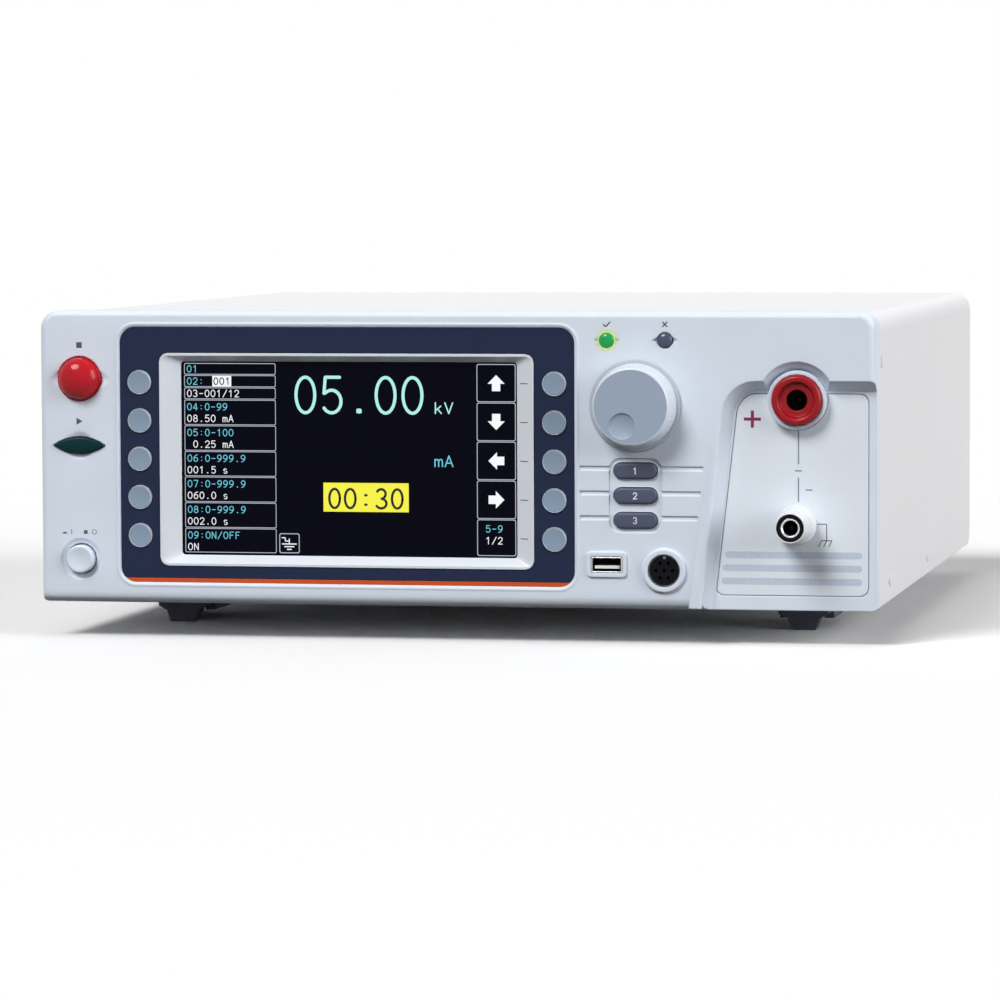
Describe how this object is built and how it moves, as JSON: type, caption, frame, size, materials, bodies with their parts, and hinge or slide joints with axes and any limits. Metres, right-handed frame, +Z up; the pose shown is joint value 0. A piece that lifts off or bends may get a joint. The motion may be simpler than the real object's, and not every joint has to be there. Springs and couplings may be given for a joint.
{
  "type": "hipot tester",
  "caption": "Bench high-voltage insulation tester with a colour screen, soft keys, rotary knob, recessed high-voltage and return terminals and fold-out front feet.",
  "frame": {"origin": "on the surface that it stands on, under the middle of its overall box", "axes": "+X to the right as seen from the front, the front panel faces -Y, +Z up"},
  "size_m": [0.3802, 0.454, 0.148],
  "materials": {
    "bezel_white": "satin moulded",
    "steel_white": "fine powder coat",
    "navy": "satin",
    "orange": "satin",
    "silver": "glossy",
    "black_glass": "glossy",
    "key_grey": "satin",
    "slate": "satin",
    "red": "glossy",
    "green": "glossy",
    "lit_green": "clear",
    "pale_grey": "satin",
    "knob_grey": "satin",
    "black_plastic": "matt",
    "nickel": "plated",
    "zinc_steel": "zinc plated",
    "brass": "turned",
    "board_green": "solder mask",
    "copper_tape": "taped winding",
    "foot_dark": "matt"
  },
  "bodies": {
    "case": {"front_bezel": "bezel_white", "display_fascia": "navy", "orange_trim_strip": "orange", "screen_frame": "silver", "display_window": "black_glass", "lcd_module": "zinc_steel", "power_switch": "black_plastic", "pass_lamp": "lit_green", "fail_lamp": "slate", "encoder": "black_plastic", "usb_port_shell": "nickel", "usb_port_tongue": "bezel_white", "remote_socket": "black_plastic", "terminal_plate": "bezel_white", "hv_socket": "red", "hv_socket_contact": "brass", "hv_socket_nut": "black_plastic", "return_terminal": "bezel_white", "return_insulator": "black_plastic", "return_contact": "nickel", "top_cover": "steel_white", "bottom_chassis": "zinc_steel", "front_subpanel": "zinc_steel", "key_board": "board_green", "main_board": "board_green", "power_supply": "board_green", "hv_transformer": "copper_tape", "front_foot_left": "foot_dark", "front_foot_right": "foot_dark", "rear_foot_left": "foot_dark", "rear_foot_right": "foot_dark", "rear_panel": "zinc_steel", "fan_frame": "black_plastic", "fan_guard": "zinc_steel", "ac_inlet": "black_plastic", "ground_terminal": "brass", "signal_connector": "zinc_steel", "network_socket": "zinc_steel"},
    "stop_button": {"stop_button": "red"},
    "start_button": {"start_button": "green"},
    "power_button": {"power_button": "pale_grey"},
    "soft_key_left_1": {"soft_key_left_1": "key_grey"},
    "soft_key_left_2": {"soft_key_left_2": "key_grey"},
    "soft_key_left_3": {"soft_key_left_3": "key_grey"},
    "soft_key_left_4": {"soft_key_left_4": "key_grey"},
    "soft_key_left_5": {"soft_key_left_5": "key_grey"},
    "soft_key_right_1": {"soft_key_right_1": "key_grey"},
    "soft_key_right_2": {"soft_key_right_2": "key_grey"},
    "soft_key_right_3": {"soft_key_right_3": "key_grey"},
    "soft_key_right_4": {"soft_key_right_4": "key_grey"},
    "soft_key_right_5": {"soft_key_right_5": "key_grey"},
    "mode_button_1": {"mode_button_1": "slate"},
    "mode_button_2": {"mode_button_2": "slate"},
    "mode_button_3": {"mode_button_3": "slate"},
    "knob": {"control_knob": "knob_grey", "encoder_shaft": "nickel"},
    "fan_rotor": {"fan_rotor": "black_plastic"},
    "tilt_leg_left": {"tilt_leg_left": "foot_dark"},
    "tilt_leg_right": {"tilt_leg_right": "foot_dark"},
    "fuse_drawer": {"fuse_drawer": "black_plastic"}
  },
  "joints": [
    {"name": "stop_press", "type": "slide", "parent": "case", "child": "stop_button", "axis": [0, 1, 0], "range_m": [0, 0.002], "stiffness_N_per_m": 400},
    {"name": "start_press", "type": "slide", "parent": "case", "child": "start_button", "axis": [0, 1, 0], "range_m": [0, 0.0012], "stiffness_N_per_m": 300},
    {"name": "power_press", "type": "slide", "parent": "case", "child": "power_button", "axis": [0, 1, 0], "range_m": [0, 0.0025], "stiffness_N_per_m": 300},
    {"name": "soft_key_left_1_press", "type": "slide", "parent": "case", "child": "soft_key_left_1", "axis": [0, 1, 0], "range_m": [0, 0.0008], "stiffness_N_per_m": 300},
    {"name": "soft_key_left_2_press", "type": "slide", "parent": "case", "child": "soft_key_left_2", "axis": [0, 1, 0], "range_m": [0, 0.0008], "stiffness_N_per_m": 300},
    {"name": "soft_key_left_3_press", "type": "slide", "parent": "case", "child": "soft_key_left_3", "axis": [0, 1, 0], "range_m": [0, 0.0008], "stiffness_N_per_m": 300},
    {"name": "soft_key_left_4_press", "type": "slide", "parent": "case", "child": "soft_key_left_4", "axis": [0, 1, 0], "range_m": [0, 0.0008], "stiffness_N_per_m": 300},
    {"name": "soft_key_left_5_press", "type": "slide", "parent": "case", "child": "soft_key_left_5", "axis": [0, 1, 0], "range_m": [0, 0.0008], "stiffness_N_per_m": 300},
    {"name": "soft_key_right_1_press", "type": "slide", "parent": "case", "child": "soft_key_right_1", "axis": [0, 1, 0], "range_m": [0, 0.0008], "stiffness_N_per_m": 300},
    {"name": "soft_key_right_2_press", "type": "slide", "parent": "case", "child": "soft_key_right_2", "axis": [0, 1, 0], "range_m": [0, 0.0008], "stiffness_N_per_m": 300},
    {"name": "soft_key_right_3_press", "type": "slide", "parent": "case", "child": "soft_key_right_3", "axis": [0, 1, 0], "range_m": [0, 0.0008], "stiffness_N_per_m": 300},
    {"name": "soft_key_right_4_press", "type": "slide", "parent": "case", "child": "soft_key_right_4", "axis": [0, 1, 0], "range_m": [0, 0.0008], "stiffness_N_per_m": 300},
    {"name": "soft_key_right_5_press", "type": "slide", "parent": "case", "child": "soft_key_right_5", "axis": [0, 1, 0], "range_m": [0, 0.0008], "stiffness_N_per_m": 300},
    {"name": "mode_button_1_press", "type": "slide", "parent": "case", "child": "mode_button_1", "axis": [0, 1, 0], "range_m": [0, 0.001], "stiffness_N_per_m": 300},
    {"name": "mode_button_2_press", "type": "slide", "parent": "case", "child": "mode_button_2", "axis": [0, 1, 0], "range_m": [0, 0.001], "stiffness_N_per_m": 300},
    {"name": "mode_button_3_press", "type": "slide", "parent": "case", "child": "mode_button_3", "axis": [0, 1, 0], "range_m": [0, 0.001], "stiffness_N_per_m": 300},
    {"name": "knob_turn", "type": "hinge", "parent": "case", "child": "knob", "pos_m": [0.0834, -0.21, 0.1064], "axis": [0, -1, 0], "continuous": true},
    {"name": "fan_spin", "type": "hinge", "parent": "case", "child": "fan_rotor", "pos_m": [-0.118, 0.205, 0.0938], "axis": [0, 1, 0], "continuous": true},
    {"name": "tilt_leg_left_fold", "type": "hinge", "parent": "case", "child": "tilt_leg_left", "pos_m": [-0.147, -0.1064, 0.0081], "axis": [-1, 0, 0], "range_deg": [0, 100]},
    {"name": "tilt_leg_right_fold", "type": "hinge", "parent": "case", "child": "tilt_leg_right", "pos_m": [0.147, -0.1064, 0.0081], "axis": [-1, 0, 0], "range_deg": [0, 100]},
    {"name": "fuse_drawer_pull", "type": "slide", "parent": "case", "child": "fuse_drawer", "axis": [0, 1, 0], "range_m": [0, 0.014]}
  ]
}
